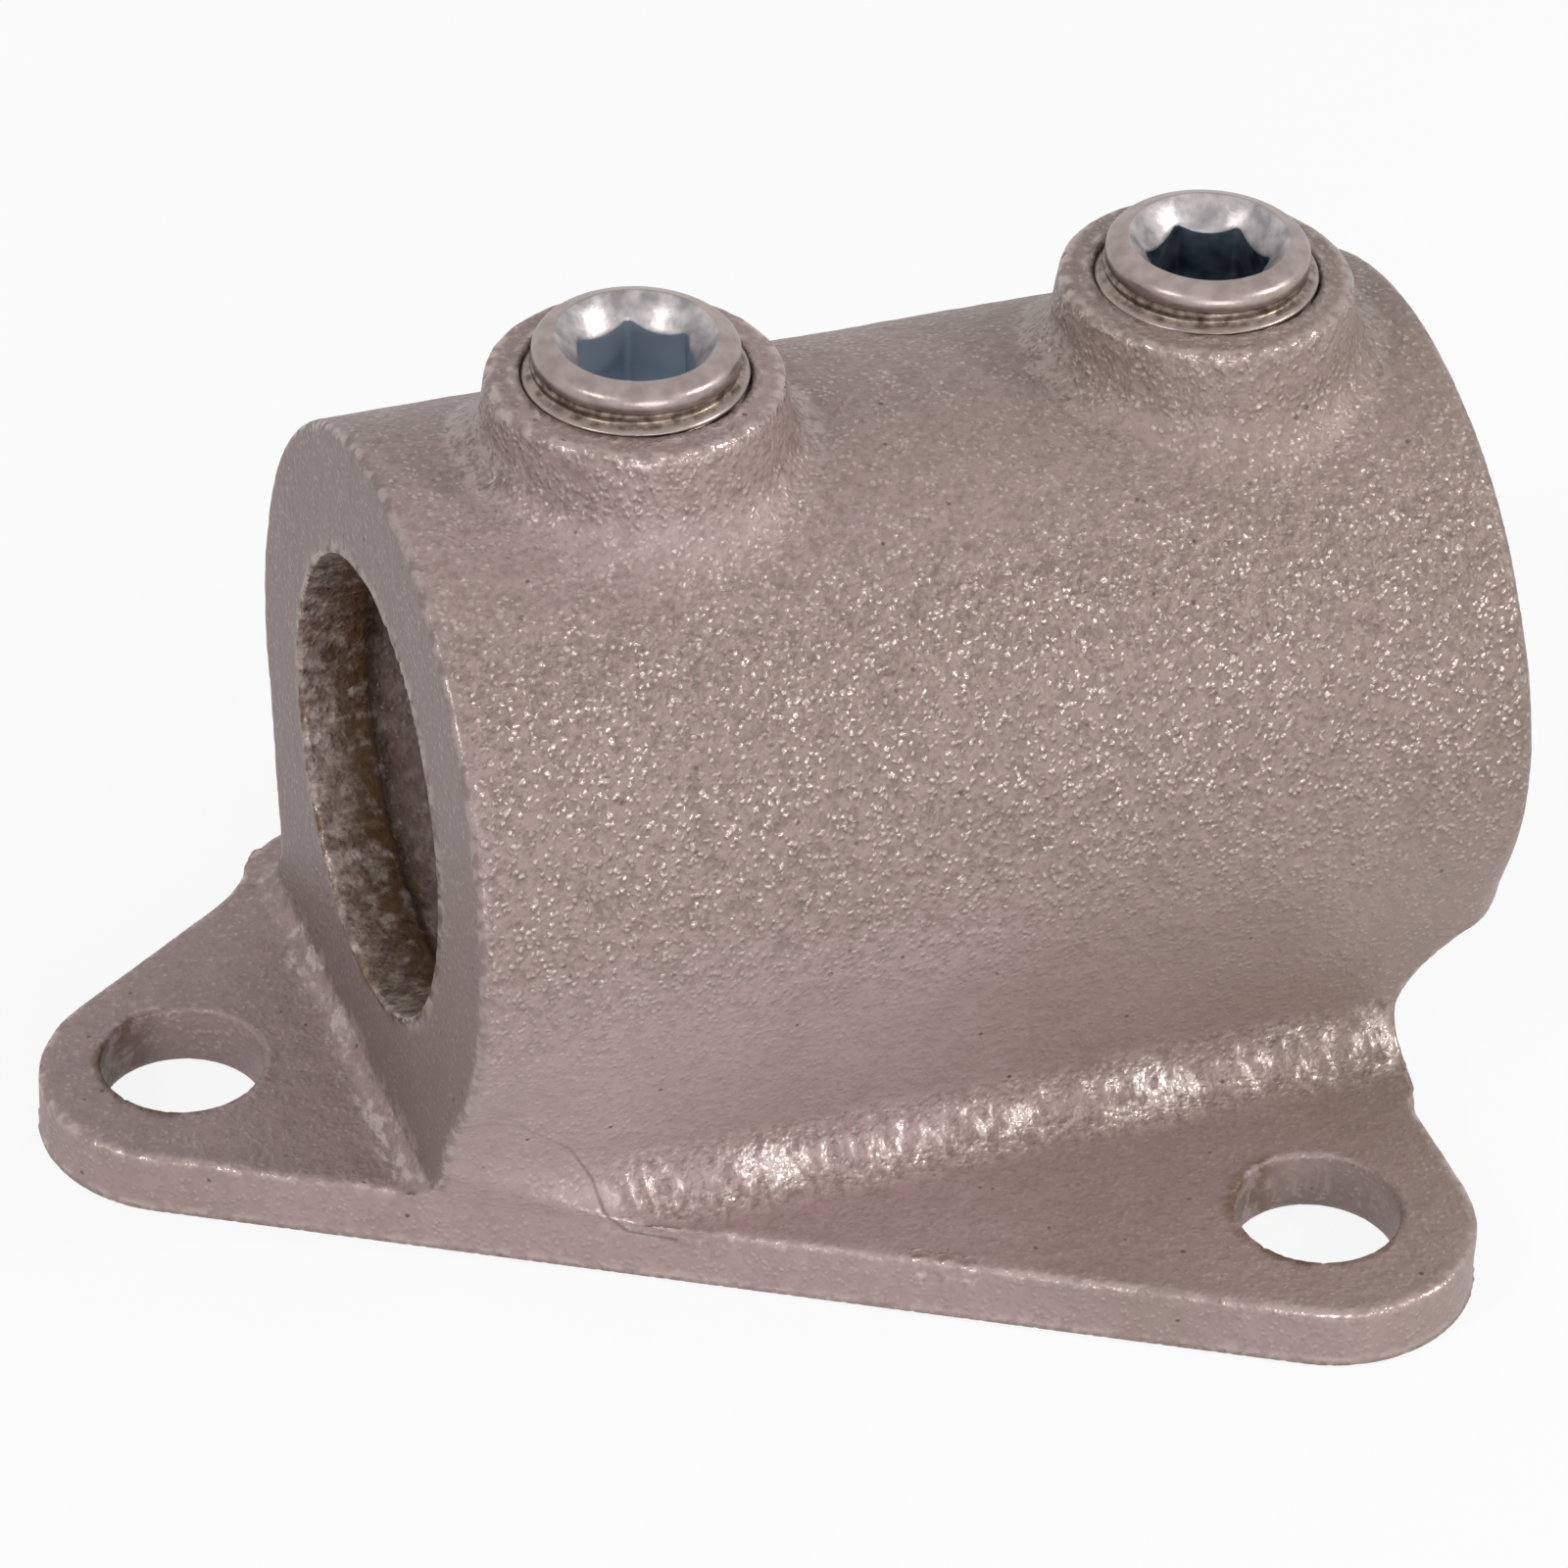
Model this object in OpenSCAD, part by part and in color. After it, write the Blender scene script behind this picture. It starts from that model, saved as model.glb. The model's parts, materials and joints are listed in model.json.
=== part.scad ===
// Side fixing for tube: a cast barrel that a tube slides through, on a two-hole
// flange that is bolted to a wall or post, with two hexagon-socket set screws
// that lock the tube.
// Frame: the mounting face is z = 0, x runs along the tube, and the origin lies
// under the middle of the barrel. The left end is the one at minus x.

/* [Barrel] */
// Diameter of the bore that the tube slides through
bore_d = 34.5; // [26:0.5:44]
// Wall between the bore and the outside of the barrel
barrel_wall = 10; // [7:0.25:14]
// Length of the barrel at the height of its axis
barrel_len = 82; // [72:1:130]
// Gap between the underside of the barrel and the mounting face
barrel_lift = 3.5; // [1:0.25:5]
// Draft of the two end faces, in degrees
end_draft = 1; // [0:0.25:3]
// Length of the true bore at each end, in front of the cored middle
land_len = 5.5; // [2:0.5:15]
// Depth of the cored relief between the two lands
relief_depth = 0.7; // [0.2:0.1:1.5]

/* [Screw bosses] */
// Outer diameter of a boss at its flat top
boss_d = 21.8; // [20:0.2:24]
// Draft of the side of a boss, in degrees
boss_draft = 7; // [0:1:10]
// Height of the flat top above the crest of the barrel
boss_rise = 5.4; // [3:0.1:9]
// Rounding of the boss at the edge of its flat top
boss_edge_r = 1; // [0.2:0.1:1.2]
// Radius of the flare that runs from the boss into the barrel
boss_flare_r = 8; // [6:0.5:12]
// Height above the crest of the barrel at which the flare starts
boss_flare_rise = 1.1; // [0.6:0.1:2]
// Distance from the left end of the barrel to the left boss
left_boss_inset = 20.4; // [18:0.1:28]
// Distance from the right end of the barrel to the right boss
right_boss_inset = 17.4; // [17:0.1:28]

/* [Set screws] */
// Outside diameter of the thread, which is also the width of its hole
thread_d = 16.66; // [14:0.01:17.5]
// Radial clearance between the screw and its hole
screw_clearance = 0.06; // [0.02:0.01:0.1]
// Length of a screw
screw_len = 14; // [12:0.5:18]
// Height by which a backed-off screw stands out of its boss
screw_stand = 3; // [1.5:0.05:5]
// Width across the flats of the hexagon socket
hex_flats = 8; // [6:0.5:8]
// Depth of the hexagon below the top of the screw
hex_depth = 7; // [4:0.5:8]
// Diameter of the countersink round the socket
sink_d = 11.8; // [11:0.1:12.2]
// Included angle of the countersink, in degrees
sink_angle = 80; // [70:5:110]
// Diameter of the plain collar above the thread
collar_d = 14.8; // [14.4:0.1:15.4]
// Depth of the foot of the plain collar below the top of the screw
collar_h = 1.9; // [1.9:0.1:3]
// Slope of the crown between the countersink and the collar, in degrees
crown_slope = 24; // [0:2:30]
// Rounding between the crown and the collar
collar_edge_r = 0.7; // [0.2:0.1:0.8]
// Diameter of the flat point of the screw
point_d = 12.4; // [11:0.2:13]
// Diameter of the cup in the point
cup_d = 9.6; // [6:0.2:10]
// Depth of the cup in the point
cup_depth = 2; // [1:0.5:3]
// Angle to which the left screw is turned, in degrees
left_turn = 19; // [0:1:60]
// Angle to which the right screw is turned, in degrees
right_turn = 38; // [0:1:60]

/* [Flange] */
// Thickness of the flange
flange_t = 5.2; // [4:0.1:8]
// Diameter of the two bolt holes
hole_d = 12.3; // [8:0.1:14]
// Radius of the rounded end of each lug
lug_r = 11.5; // [10.5:0.1:14]
// Distance of the centre of that radius in front of the line of the bolt holes
lug_front = 0.45; // [0:0.05:1.5]
// Distance of that centre from the hole along the line of the bolt holes, to the right
lug_along = 0.6; // [0:0.1:1.5]
// Distance of the left bolt hole beyond the left end of the barrel
left_hole_out = 13.3; // [13:0.1:24]
// Distance of the left bolt hole behind the axis of the tube
left_hole_back = 4; // [0:0.5:8]
// Distance of the right bolt hole inside the right end of the barrel
right_hole_in = 20.2; // [14:0.1:30]
// Distance of the right bolt hole in front of the axis of the tube
right_hole_front = 38.2; // [36:0.1:50]
// Distance of the back edge outside the widest part of the barrel
back_edge_out = 2.5; // [1:0.25:8]
// Radius of the two back corners
back_corner_r = 1.5; // [0.5:0.25:2]
// Distance of the root of the left lug inside the back edge
left_root_in = 4.5; // [4:0.25:12]
// Fillet in plan between the left lug and the end face
left_root_r = 5; // [1:0.25:5]

/* [Apron] */
// Lean of the sides that run from the barrel down to the flange, in degrees
apron_lean = 16; // [12:1:20]
// Fillet between the apron and the top of the flange
apron_fillet_r = 5; // [2:0.25:5.5]
// Fillet between the left end face and the top of the flange
toe_fillet_r = 2; // [0.5:0.25:4]
// Set-back of the apron from the right end of the barrel
neck_in = 7.1; // [3:0.1:10]
// Height at which the set-back face starts to flare out to the barrel
neck_h = 7; // [6:0.25:9]
// Radius of that flare
neck_flare_r = 12; // [10:0.5:20]
// Lean of the chin between the diagonal front edge and the barrel, in degrees
chin_lean = 24; // [15:1:35]
// Distance of the foot of the chin below the top of the flange
chin_drop = 0.8; // [0.5:0.1:2]

/* [Hidden] */
$fn = 96;
arc_steps = 6;
over = 1;
seam = 0.01;
casting_color = [0.60, 0.54, 0.52];
screw_color = [0.78, 0.79, 0.80];

barrel_r = bore_d / 2 + barrel_wall;
axis_h = barrel_r + barrel_lift;
crest_h = axis_h + barrel_r;
half_len = barrel_len / 2;
boss_top_h = crest_h + boss_rise;
left_boss_x = -half_len + left_boss_inset;
right_boss_x = half_len - right_boss_inset;
left_hole = [-half_len - left_hole_out, left_hole_back];
right_hole = [half_len - right_hole_in, -right_hole_front];
neck_x = half_len - neck_in;
back_y = barrel_r + back_edge_out;
fillet_top = flange_t + apron_fillet_r;
span = 4 * (barrel_len + barrel_r);
front_angle = atan2(right_hole.y - left_hole.y, right_hole.x - left_hole.x);

// The end faces lean by their draft, so their place depends on the height
function end_x(z) = half_len + (axis_h - z) * tan(end_draft);

// Points of an arc about a centre, from one angle to another
function arc(centre, r, from, to, steps = arc_steps) =
    [for (i = [0 : steps]) let (a = from + (to - from) * i / steps) centre + r * [cos(a), sin(a)]];

// The ends of the outer line along two circles [x, y, r]. It runs a seam inside them,
// so that it meets each circle at a clear crossing.
function touch(a, b) =
    let (run = [b.x - a.x, b.y - a.y],
         side = atan2(run.y, run.x) - acos((a[2] - b[2]) / norm(run)),
         out = [cos(side), sin(side)])
    [[a.x, a.y] + max(a[2] - seam, 0) * out, [b.x, b.y] + max(b[2] - seam, 0) * out];

// A flat outline with a round corner at each [x, y, r], listed anticlockwise
module rounded_outline(corners) {
    last = len(corners) - 1;
    polygon([for (i = [0 : last]) each touch(corners[i], corners[i == last ? 0 : i + 1])]);
    for (c = corners)
        if (c[2] > 0) translate([c.x, c.y]) circle(r = c[2]);
}

// Turns a flat y-z outline into a bar along x
module bar_along_x(from, to) {
    translate([from, 0, 0]) rotate([90, 0, 90]) linear_extrude(to - from) children();
}

// Turns a flat x-z outline into a bar along y
module bar_along_y(length) {
    translate([0, length / 2, 0]) rotate([90, 0, 0]) linear_extrude(length) children();
}

// Half the width of the apron, with its fillets, at the top of the flange
function foot_y() =
    (barrel_r + apron_fillet_r - (axis_h - fillet_top) * sin(apron_lean)) / cos(apron_lean);

// Plan of the flange: the pad under the barrel and the two lugs that grow out of
// it, one past the left end and one past the front
module flange_outline() {
    shift = lug_front * [sin(front_angle), -cos(front_angle)]
        + lug_along * [cos(front_angle), sin(front_angle)];
    left_lug = [left_hole.x + shift.x, left_hole.y + shift.y, lug_r];
    right_lug = [right_hole.x + shift.x, right_hole.y + shift.y, lug_r];
    pad_left = -end_x(0);
    lug_right = right_lug.x + lug_r;
    root = [pad_left, back_y - left_root_in, 0];
    neck_ease = 3.5;
    corner_in = min(foot_y() - neck_ease, barrel_r);

    rounded_outline([left_lug, right_lug, [lug_right, 0, 0], root]);
    rounded_outline([
        [pad_left, 0, 0],
        [lug_right, -foot_y(), 0],
        [neck_x, -corner_in, 0],
        [neck_x - back_corner_r, back_y - back_corner_r, back_corner_r],
        [pad_left + back_corner_r, back_y - back_corner_r, back_corner_r]
    ]);

    tangent = touch(root, left_lug)[1];
    lean = atan2(root.y - tangent.y, root.x - tangent.x);
    centre = [root.x - left_root_r, root.y + left_root_r * (1 - sin(lean)) / cos(lean)];
    fillet = arc(centre, left_root_r, 0, lean - 90);
    lug_end = fillet[len(fillet) - 1];
    polygon(concat(
        fillet,
        [lug_end + over * [sin(lean), -cos(lean)],
         [root.x + over, root.y - over],
         [root.x + over, centre.y]]));
}

// Side view of the casting between its two drafted end faces
module end_profile() {
    polygon([[-end_x(0), 0], [end_x(0), 0],
             [end_x(crest_h), crest_h], [-end_x(crest_h), crest_h]]);
}

module barrel() {
    intersection() {
        translate([0, 0, axis_h]) rotate([0, 90, 0])
            cylinder(r = barrel_r, h = 2 * end_x(0), center = true);
        bar_along_y(span) end_profile();
    }
}

// Cross-section of the apron: two leaning sides that touch the barrel, with a
// fillet to the top of the flange at each foot
module apron_section() {
    touch_y = (barrel_r - seam) * cos(apron_lean);
    touch_z = axis_h - (barrel_r - seam) * sin(apron_lean);
    foot = arc([foot_y(), fillet_top], apron_fillet_r, 270, 180 - apron_lean);
    side = concat([[foot_y(), 0]], foot, [[touch_y, touch_z]]);
    polygon(concat(side, [for (i = [len(side) - 1 : -1 : 0]) [-side[i].x, side[i].y]]));
}

// Side view of the apron: flush with the left end but for a small fillet at its
// foot, and set back at the right end
module apron_side_view() {
    toe_top = flange_t + toe_fillet_r;
    toe_x = -end_x(toe_top) - toe_fillet_r;
    neck_top = neck_h + neck_flare_r;
    intersection() {
        union() {
            end_profile();
            polygon(concat([[toe_x, 0], [0, 0], [0, toe_top]],
                           arc([toe_x, toe_top], toe_fillet_r, 0, -90)));
        }
        polygon(concat([[-span, 0], [neck_x, 0]],
                       arc([neck_x + neck_flare_r, neck_h], neck_flare_r, 180, 90),
                       [[span, neck_top], [span, crest_h], [-span, crest_h]]));
    }
}

// Everything behind the diagonal front edge, which leans out above the flange
module behind_front_edge() {
    edge_y = -lug_front - lug_r;
    foot_z = flange_t - chin_drop;
    translate([left_hole.x, left_hole.y, 0]) rotate([0, 0, front_angle])
        bar_along_x(-span, span)
            polygon([[edge_y + foot_z * tan(chin_lean), 0], [span, 0], [span, crest_h],
                     [edge_y - (crest_h - foot_z) * tan(chin_lean), crest_h]]);
}

module apron() {
    intersection() {
        bar_along_x(-span, span) apron_section();
        bar_along_y(span) apron_side_view();
        behind_front_edge();
        union() {
            linear_extrude(neck_h) {
                flange_outline();
                translate([-span, -span]) square(span);
            }
            translate([-span, -span, neck_h]) cube([2 * span, 2 * span, crest_h]);
        }
    }
}

// A boss with a flat top that flares out into the barrel at its foot
module boss(x) {
    boss_r = boss_d / 2;
    flare_z = crest_h + boss_flare_rise;
    flare_reach = 55;
    edge = arc([boss_r - boss_edge_r, boss_top_h - boss_edge_r], boss_edge_r, 90, boss_draft, 3);
    side = edge[len(edge) - 1];
    side_r = side.x + (side.y - flare_z) * tan(boss_draft);
    flare = arc([side_r, flare_z] + boss_flare_r * [cos(boss_draft), sin(boss_draft)],
                boss_flare_r, 180 + boss_draft, 180 + flare_reach);
    foot = flare[len(flare) - 1];
    translate([x, 0, 0]) rotate_extrude()
        polygon(concat([[0, axis_h], [0, boss_top_h]], edge, flare, [[foot.x, axis_h]]));
}

module clamp_body() {
    color(casting_color) difference() {
        union() {
            barrel();
            apron();
            linear_extrude(flange_t) flange_outline();
            boss(left_boss_x);
            boss(right_boss_x);
        }
        translate([0, 0, axis_h]) rotate([0, 90, 0]) {
            cylinder(d = bore_d, h = 2 * end_x(0) + 2 * over, center = true);
            cylinder(r = bore_d / 2 + relief_depth, h = barrel_len - 2 * land_len, center = true);
        }
        for (x = [left_boss_x, right_boss_x])
            translate([x, 0, axis_h]) cylinder(d = thread_d, h = boss_top_h - axis_h + over);
        for (hole = [left_hole, right_hole])
            translate([hole.x, hole.y, -over]) cylinder(d = hole_d, h = flange_t + 2 * over);
    }
}

// A screw with its top at z = 0: collar, thread envelope and cup point
module screw_blank() {
    screw_r = thread_d / 2 - screw_clearance;
    collar_r = collar_d / 2;
    point_r = point_d / 2;
    rim_r = sink_d / 2;
    edge_x = collar_r - collar_edge_r;
    edge_z = -(edge_x - rim_r) * tan(crown_slope) - collar_edge_r / cos(crown_slope);
    edge = arc([edge_x, edge_z], collar_edge_r, 90 - crown_slope, 0, 4);
    rotate_extrude()
        polygon(concat(
            [[0, 0], [rim_r, 0]],
            edge,
            [[collar_r, -collar_h],
             [screw_r, -collar_h - (screw_r - collar_r)],
             [screw_r, -screw_len + (screw_r - point_r)],
             [point_r, -screw_len],
             [cup_d / 2, -screw_len],
             [0, -screw_len + cup_depth]]));
}

module set_screw(x, turn) {
    sink_r = sink_d / 2;
    sink_h = sink_r / tan(sink_angle / 2);
    hex_r = hex_flats / 2 / cos(30);
    drill_r = hex_flats / 2;
    drill_cone = drill_r / tan(59);
    color(screw_color) translate([x, 0, boss_top_h + screw_stand]) rotate([0, 0, turn])
        difference() {
            screw_blank();
            translate([0, 0, -hex_depth]) cylinder(r = hex_r, h = hex_depth + over, $fn = 6);
            translate([0, 0, -hex_depth - drill_cone])
                cylinder(r1 = 0, r2 = drill_r, h = drill_cone);
            translate([0, 0, -sink_h]) cylinder(r1 = 0, r2 = sink_r, h = sink_h);
        }
}

module set_screw_left() {
    set_screw(left_boss_x, left_turn);
}

module set_screw_right() {
    set_screw(right_boss_x, right_turn);
}

clamp_body();
set_screw_left();
set_screw_right();
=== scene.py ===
# %% [markdown]
# # A cast side fixing for tube
# A tube slides through the barrel, two socket set screws lock it, and the flange is bolted to a wall
# or a post. The real part is one iron casting, dipped in molten zinc after it was cast, with two
# zinc-plated screws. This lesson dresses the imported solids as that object: a rough cast skin on the
# body, cut threads and key sockets on the screws, and the dull mauve grey of old zinc.
#
# The solids come first, as a fixed frame. Places and mounts are read from them, and the sizes that they
# can't give are named values in millimetres.

# %% The fixed frame
import json
import math
from functools import partial

import bpy
import numpy as np
from mathutils import Matrix, Vector


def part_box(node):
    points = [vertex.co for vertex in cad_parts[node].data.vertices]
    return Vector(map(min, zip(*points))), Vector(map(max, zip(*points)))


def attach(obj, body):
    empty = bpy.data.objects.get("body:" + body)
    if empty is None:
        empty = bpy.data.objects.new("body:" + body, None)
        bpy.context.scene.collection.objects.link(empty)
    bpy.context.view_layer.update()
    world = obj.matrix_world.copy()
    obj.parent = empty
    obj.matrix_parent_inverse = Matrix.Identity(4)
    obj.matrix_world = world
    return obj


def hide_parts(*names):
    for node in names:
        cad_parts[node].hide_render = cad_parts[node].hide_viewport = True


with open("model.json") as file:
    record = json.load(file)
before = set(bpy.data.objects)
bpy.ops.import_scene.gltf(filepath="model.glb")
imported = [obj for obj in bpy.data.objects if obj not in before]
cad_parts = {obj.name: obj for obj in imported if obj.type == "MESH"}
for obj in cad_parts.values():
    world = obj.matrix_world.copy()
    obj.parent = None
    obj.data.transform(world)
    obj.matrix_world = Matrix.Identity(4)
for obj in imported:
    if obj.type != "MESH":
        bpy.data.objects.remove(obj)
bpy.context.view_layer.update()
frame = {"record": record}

MM = 0.001
IMAGE_SIDE = 1600

# %% [markdown]
# ## The camera
# The photograph was taken from the front left and above, with a long lens. Its place and aim were worked
# out from the ellipses of the bore, the screws and the bolt holes. A camera could be aimed with a Track
# To constraint, but a rotation of its own also keeps the small roll of the shot.

# %% Camera at the photograph's angle
CAMERA_SPOT = Vector((-166.22, -410.82, 353.70)) * MM
CAMERA_AIM = Vector((-11.67, -9.33, 30.99)) * MM
CAMERA_ROLL = math.radians(2.12)
FOCAL_PIXELS = 7456.2
SENSOR_MM = 36.0


def add_object(name, data):
    """A new object in the scene, at the origin."""
    obj = bpy.data.objects.new(name, data)
    bpy.context.scene.collection.objects.link(obj)
    return obj


def add_camera():
    data = bpy.data.cameras.new("photo_camera")
    data.sensor_width = SENSOR_MM
    data.lens = FOCAL_PIXELS / IMAGE_SIDE * SENSOR_MM
    data.clip_start, data.clip_end = 0.01, 20
    camera = add_object("photo_camera", data)
    look = (CAMERA_AIM - CAMERA_SPOT).to_track_quat("-Z", "Y").to_matrix()
    camera.rotation_euler = (look @ Matrix.Rotation(CAMERA_ROLL, 3, "Z")).to_euler()
    camera.location = CAMERA_SPOT
    bpy.context.scene.camera = camera
    return camera


camera = add_camera()
print("camera lens", round(camera.data.lens, 1), "mm")

# %% [markdown]
# ## Sizes of the casting
# The mounts and openings in the record give the bore, the axis height and the bolt holes, and the
# screws' boxes give the middles of the two bosses. The rest are the casting's own sizes: its wall, the
# draft that lets it leave the mould, and its fillets.

# %% Sizes read from the frame, in millimetres
record = frame["record"]
mounts = {mount["name"]: mount for mount in record["mounts"]}
openings = {o["name"]: np.array(o["box_m"]) / MM for o in record["physics"]["openings"]}
tube = mounts["tube_bore"]


def middle_of(opening):
    return openings[opening].mean(axis=0)[:2]


def node_box(node):
    low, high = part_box(node)
    return np.array(low) / MM, np.array(high) / MM


BORE_R, HALF_LEN = tube["dims"]["r_mm"], tube["dims"]["length_mm"] / 2
AXIS_H = tube["pos_m"][2] / MM
BOLT_HOLE_R = mounts["base_bolts"]["dims"]["hole_r_mm"]
LEFT_HOLE, RIGHT_HOLE = middle_of("left_lug_hole"), middle_of("right_lug_hole")
SCREW_X = [float(sum(b[0] for b in node_box("set_screw_" + side)) / 2) for side in ("left", "right")]
BODY_LOW, BODY_HIGH = node_box("clamp_body")
BOSS_TOP = float(BODY_HIGH[2])
print("bore", BORE_R, "axis height", AXIS_H, "screws at", [round(x, 2) for x in SCREW_X])

# %% Sizes of the casting's own forms, in millimetres

# Barrel: its wall, the lean of its end faces, the radius of their rims and of the lower right rim,
# and the relief that is cored between two machined lands
WALL = 10.0
BARREL_R = BORE_R + WALL
END_DRAFT = math.radians(1.0)
BARREL_EDGE_R, RIGHT_EDGE_R = 1.1, 3.0
LAND_LEN, RELIEF_DEPTH = 5.5, 0.7

# Bosses: radius at the top, draft, rim, and the flare of the foot along and across the barrel
BOSS_R, BOSS_DRAFT, BOSS_EDGE_R = 11.0, math.radians(7.0), 0.8
BOSS_FLARE_ALONG, BOSS_FLARE_ACROSS = 2.2, 2.6
THREAD_HOLE_R, HOLE_RIM_R, BOLT_RIM_R = 8.33, 0.4, 0.35

# Flange: plate, lugs with their middles a little off the holes, and the corners where lugs meet the pad
FLANGE_T, FLANGE_EDGE_R, UNDERSIDE_EDGE_R = 5.2, 0.8, 0.3
LUG_R, LUG_FRONT, LUG_ALONG = 11.5, 0.45, 0.6
ROOT_IN, LEFT_ROOT_R, RIGHT_ROOT_R = 4.5, 5.0, 2.5
BACK_Y, BACK_CORNER_R, LEFT_CORNER_R = float(BODY_HIGH[1]), 1.5, 4.2

# Apron: lean of its sides, fillets at its foot, the neck at its right end and the chin along the front
APRON_LEAN, APRON_FILLET_R, TOE_FILLET_R = math.radians(16.0), 5.0, 2.0
NECK_X, NECK_H, NECK_FLARE_R, NECK_EASE = HALF_LEN - 7.1, 7.0, 12.0, 3.5
CHIN_LEAN, CHIN_DROP, CHIN_ROUND = math.radians(24.0), 0.8, 4.5

# Burrs on the flange's front edge: their middles, their radius and the fillet round them
BURRS = [(-9.2, -34.5, 4.75), (-7.6, -35.35, 4.8), (-6.2, -36.35, 4.7)]
BURR_R, BURR_FILLET_R = 0.62, 0.5

# %% [markdown]
# ## Why the casting is built from distances
# A casting has no sharp edges: every wall runs into the next through a fillet, and the molten zinc
# rounds what is left. Bevels on a mesh struggle where a barrel, two bosses and a flange all meet, and a
# distance field doesn't. Each form is a formula that gives the distance of any point from its surface,
# negative inside. The smaller of two distances joins two forms, the larger cuts one with the other, and
# two short formulas do the same with a round edge or fillet. The zero surface becomes a mesh at the end.

# %% Joining and cutting distances with a radius


def round_cut(a, b, radius):
    """Keeps what is inside both forms, with a rounded outer edge."""
    both = np.hypot(np.maximum(a + radius, 0), np.maximum(b + radius, 0))
    return np.minimum(np.maximum(a, b), -radius) + both


def round_join(a, b, radius):
    """Keeps what is inside either form, with a fillet in the inner corner."""
    both = np.hypot(np.maximum(radius - a, 0), np.maximum(radius - b, 0))
    return np.maximum(np.minimum(a, b), radius) - both


def ease(value, start, end):
    """0 before start, 1 after end and a smooth rise between them."""
    t = np.clip((value - start) / (end - start), 0, 1)
    return t * t * (3 - 2 * t)


print("a fillet of 5 mm fills", round(-float(round_join(0.0, 0.0, 5.0)), 2), "mm of a square corner")

# %% [markdown]
# ## The flange
# The flange is a plate with two lugs on a diagonal. Its plan is a taut band round circles, as a pattern
# maker would draw it: one band round the two lugs, one round the pad under the barrel, and a fillet in
# each of the corners where a lug leaves the pad.

# %% Plan of the flange
FRONT = RIGHT_HOLE - LEFT_HOLE
FRONT = FRONT / np.linalg.norm(FRONT)
BACKWARD = np.array([-FRONT[1], FRONT[0]])
FRONT_EDGE = -LUG_FRONT - LUG_R


def end_x(z):
    """Half length of the barrel at a height, between its drafted end faces."""
    return HALF_LEN + (AXIS_H - z) * math.tan(END_DRAFT)


def band(corners, arc_step=math.radians(5)):
    """Points of a taut band round circles [x, y, radius], listed anticlockwise."""
    turns = []
    for a, b in zip(corners, corners[1:] + corners[:1]):
        run = (b[0] - a[0], b[1] - a[1])
        turns.append(math.atan2(run[1], run[0]) - math.acos((a[2] - b[2]) / math.hypot(*run)))
    points = []
    for (x, y, radius), before, after in zip(corners, turns[-1:] + turns[:-1], turns):
        sweep = (after - before) % math.tau
        steps = max(1, math.ceil(sweep / arc_step)) if radius > 0 else 1
        for i in range(steps + 1 if radius > 0 else 1):
            angle = before + sweep * i / steps
            points.append((x + radius * math.cos(angle), y + radius * math.sin(angle)))
    return np.array(points)


def band_distance(points, x, y):
    """Distance of x, y from the edge of a convex outline, negative inside."""
    nearest, outside = np.inf, -np.inf
    for (ax, ay), (bx, by) in zip(points, np.roll(points, -1, axis=0)):
        ex, ey = bx - ax, by - ay
        length = math.hypot(ex, ey)
        if length < 1e-6:
            continue
        px, py = x - ax, y - ay
        along = np.clip((px * ex + py * ey) / length ** 2, 0, 1)
        nearest = np.minimum(nearest, (px - along * ex) ** 2 + (py - along * ey) ** 2)
        outside = np.maximum(outside, (px * ey - py * ex) / length)
    return np.where(outside > 0, 1, -1) * np.sqrt(nearest)


def foot_y():
    """Half width of the apron, with its fillets, at the top of the flange."""
    fillet_top = FLANGE_T + APRON_FILLET_R
    reach = BARREL_R + APRON_FILLET_R - (AXIS_H - fillet_top) * math.sin(APRON_LEAN)
    return reach / math.cos(APRON_LEAN)


def flange_bands():
    shift = LUG_ALONG * FRONT - LUG_FRONT * BACKWARD
    left, right = LEFT_HOLE + shift, RIGHT_HOLE + shift
    pad_left, lug_right = -end_x(0), right[0] + LUG_R
    corner = BACK_CORNER_R
    lugs = band([(*left, LUG_R), (*right, LUG_R), (lug_right, 0, 0),
                 (pad_left, BACK_Y - ROOT_IN, 0)])
    pad = band([(pad_left, 0, 0), (lug_right, -foot_y(), 0),
                (NECK_X, -min(foot_y() - NECK_EASE, BARREL_R), 0),
                (NECK_X - corner, BACK_Y - corner, corner),
                (pad_left + LEFT_CORNER_R, BACK_Y - LEFT_CORNER_R, LEFT_CORNER_R)])
    return lugs, pad


LUG_BAND, PAD_BAND = flange_bands()


def plan_distance(x, y):
    """Distance from the flange's outline, seen from above. Only its two inner corners have a fillet."""
    fillet = LEFT_ROOT_R * ease(x, -30, -36) + RIGHT_ROOT_R * ease(x, 20, 28)
    lugs, pad = band_distance(LUG_BAND, x, y), band_distance(PAD_BAND, x, y)
    joined = round_join(lugs, pad, np.maximum(fillet, 0.1))
    return np.where(fillet > 0.1, joined, np.minimum(lugs, pad))


print("points in the two bands:", len(LUG_BAND), len(PAD_BAND))

# %% [markdown]
# ## The barrel, the apron and the bosses
# The barrel stands 3.5 mm off the mounting face, and a leaning apron carries it down to the flange. At
# the left it ends flush with the barrel, at the right it is set back and flares out, and along the
# diagonal front edge a chin trims it. The bosses are short drafted cylinders that flare into the barrel,
# further across it than along it. Three small burrs sit on the front edge, where the mould leaked.

# %% Distance of a point from the whole casting


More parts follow.
